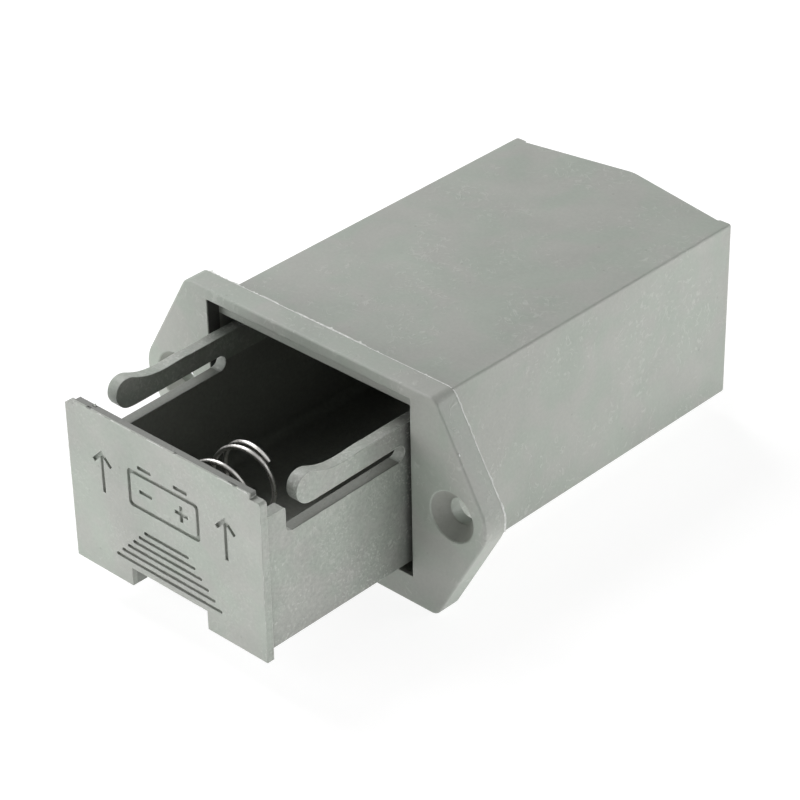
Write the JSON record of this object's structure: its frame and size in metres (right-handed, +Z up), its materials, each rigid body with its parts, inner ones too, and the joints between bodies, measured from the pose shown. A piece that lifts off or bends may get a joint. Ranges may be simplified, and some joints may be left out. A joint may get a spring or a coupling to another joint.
{
  "type": "panel mount battery holder",
  "caption": "Flanged plastic battery holder with a pull-out drawer, sprung side arms, a coil spring and rear solder contacts for one flat block battery.",
  "frame": {"origin": "on the panel face of the flange, midway between the two screw holes", "axes": "+X to the right seen from the front, +Y through the panel towards the rear, +Z up"},
  "size_m": [0.054, 0.0855, 0.029],
  "materials": {
    "plastic": "grey-green moulded thermoplastic, faintly mottled",
    "spring_wire": "bright plated spring wire",
    "contact_strip": "nickel-plated spring strip"
  },
  "bodies": {
    "housing_body": {"housing": "plastic", "contact_left": "contact_strip", "contact_right": "contact_strip"},
    "drawer_body": {"drawer": "plastic", "battery_spring": "spring_wire"}
  },
  "joints": [
    {"name": "drawer_slide", "type": "slide", "parent": "housing_body", "child": "drawer_body", "axis": [0, 1, 0], "range_m": [-0.027, 0.0232]}
  ]
}
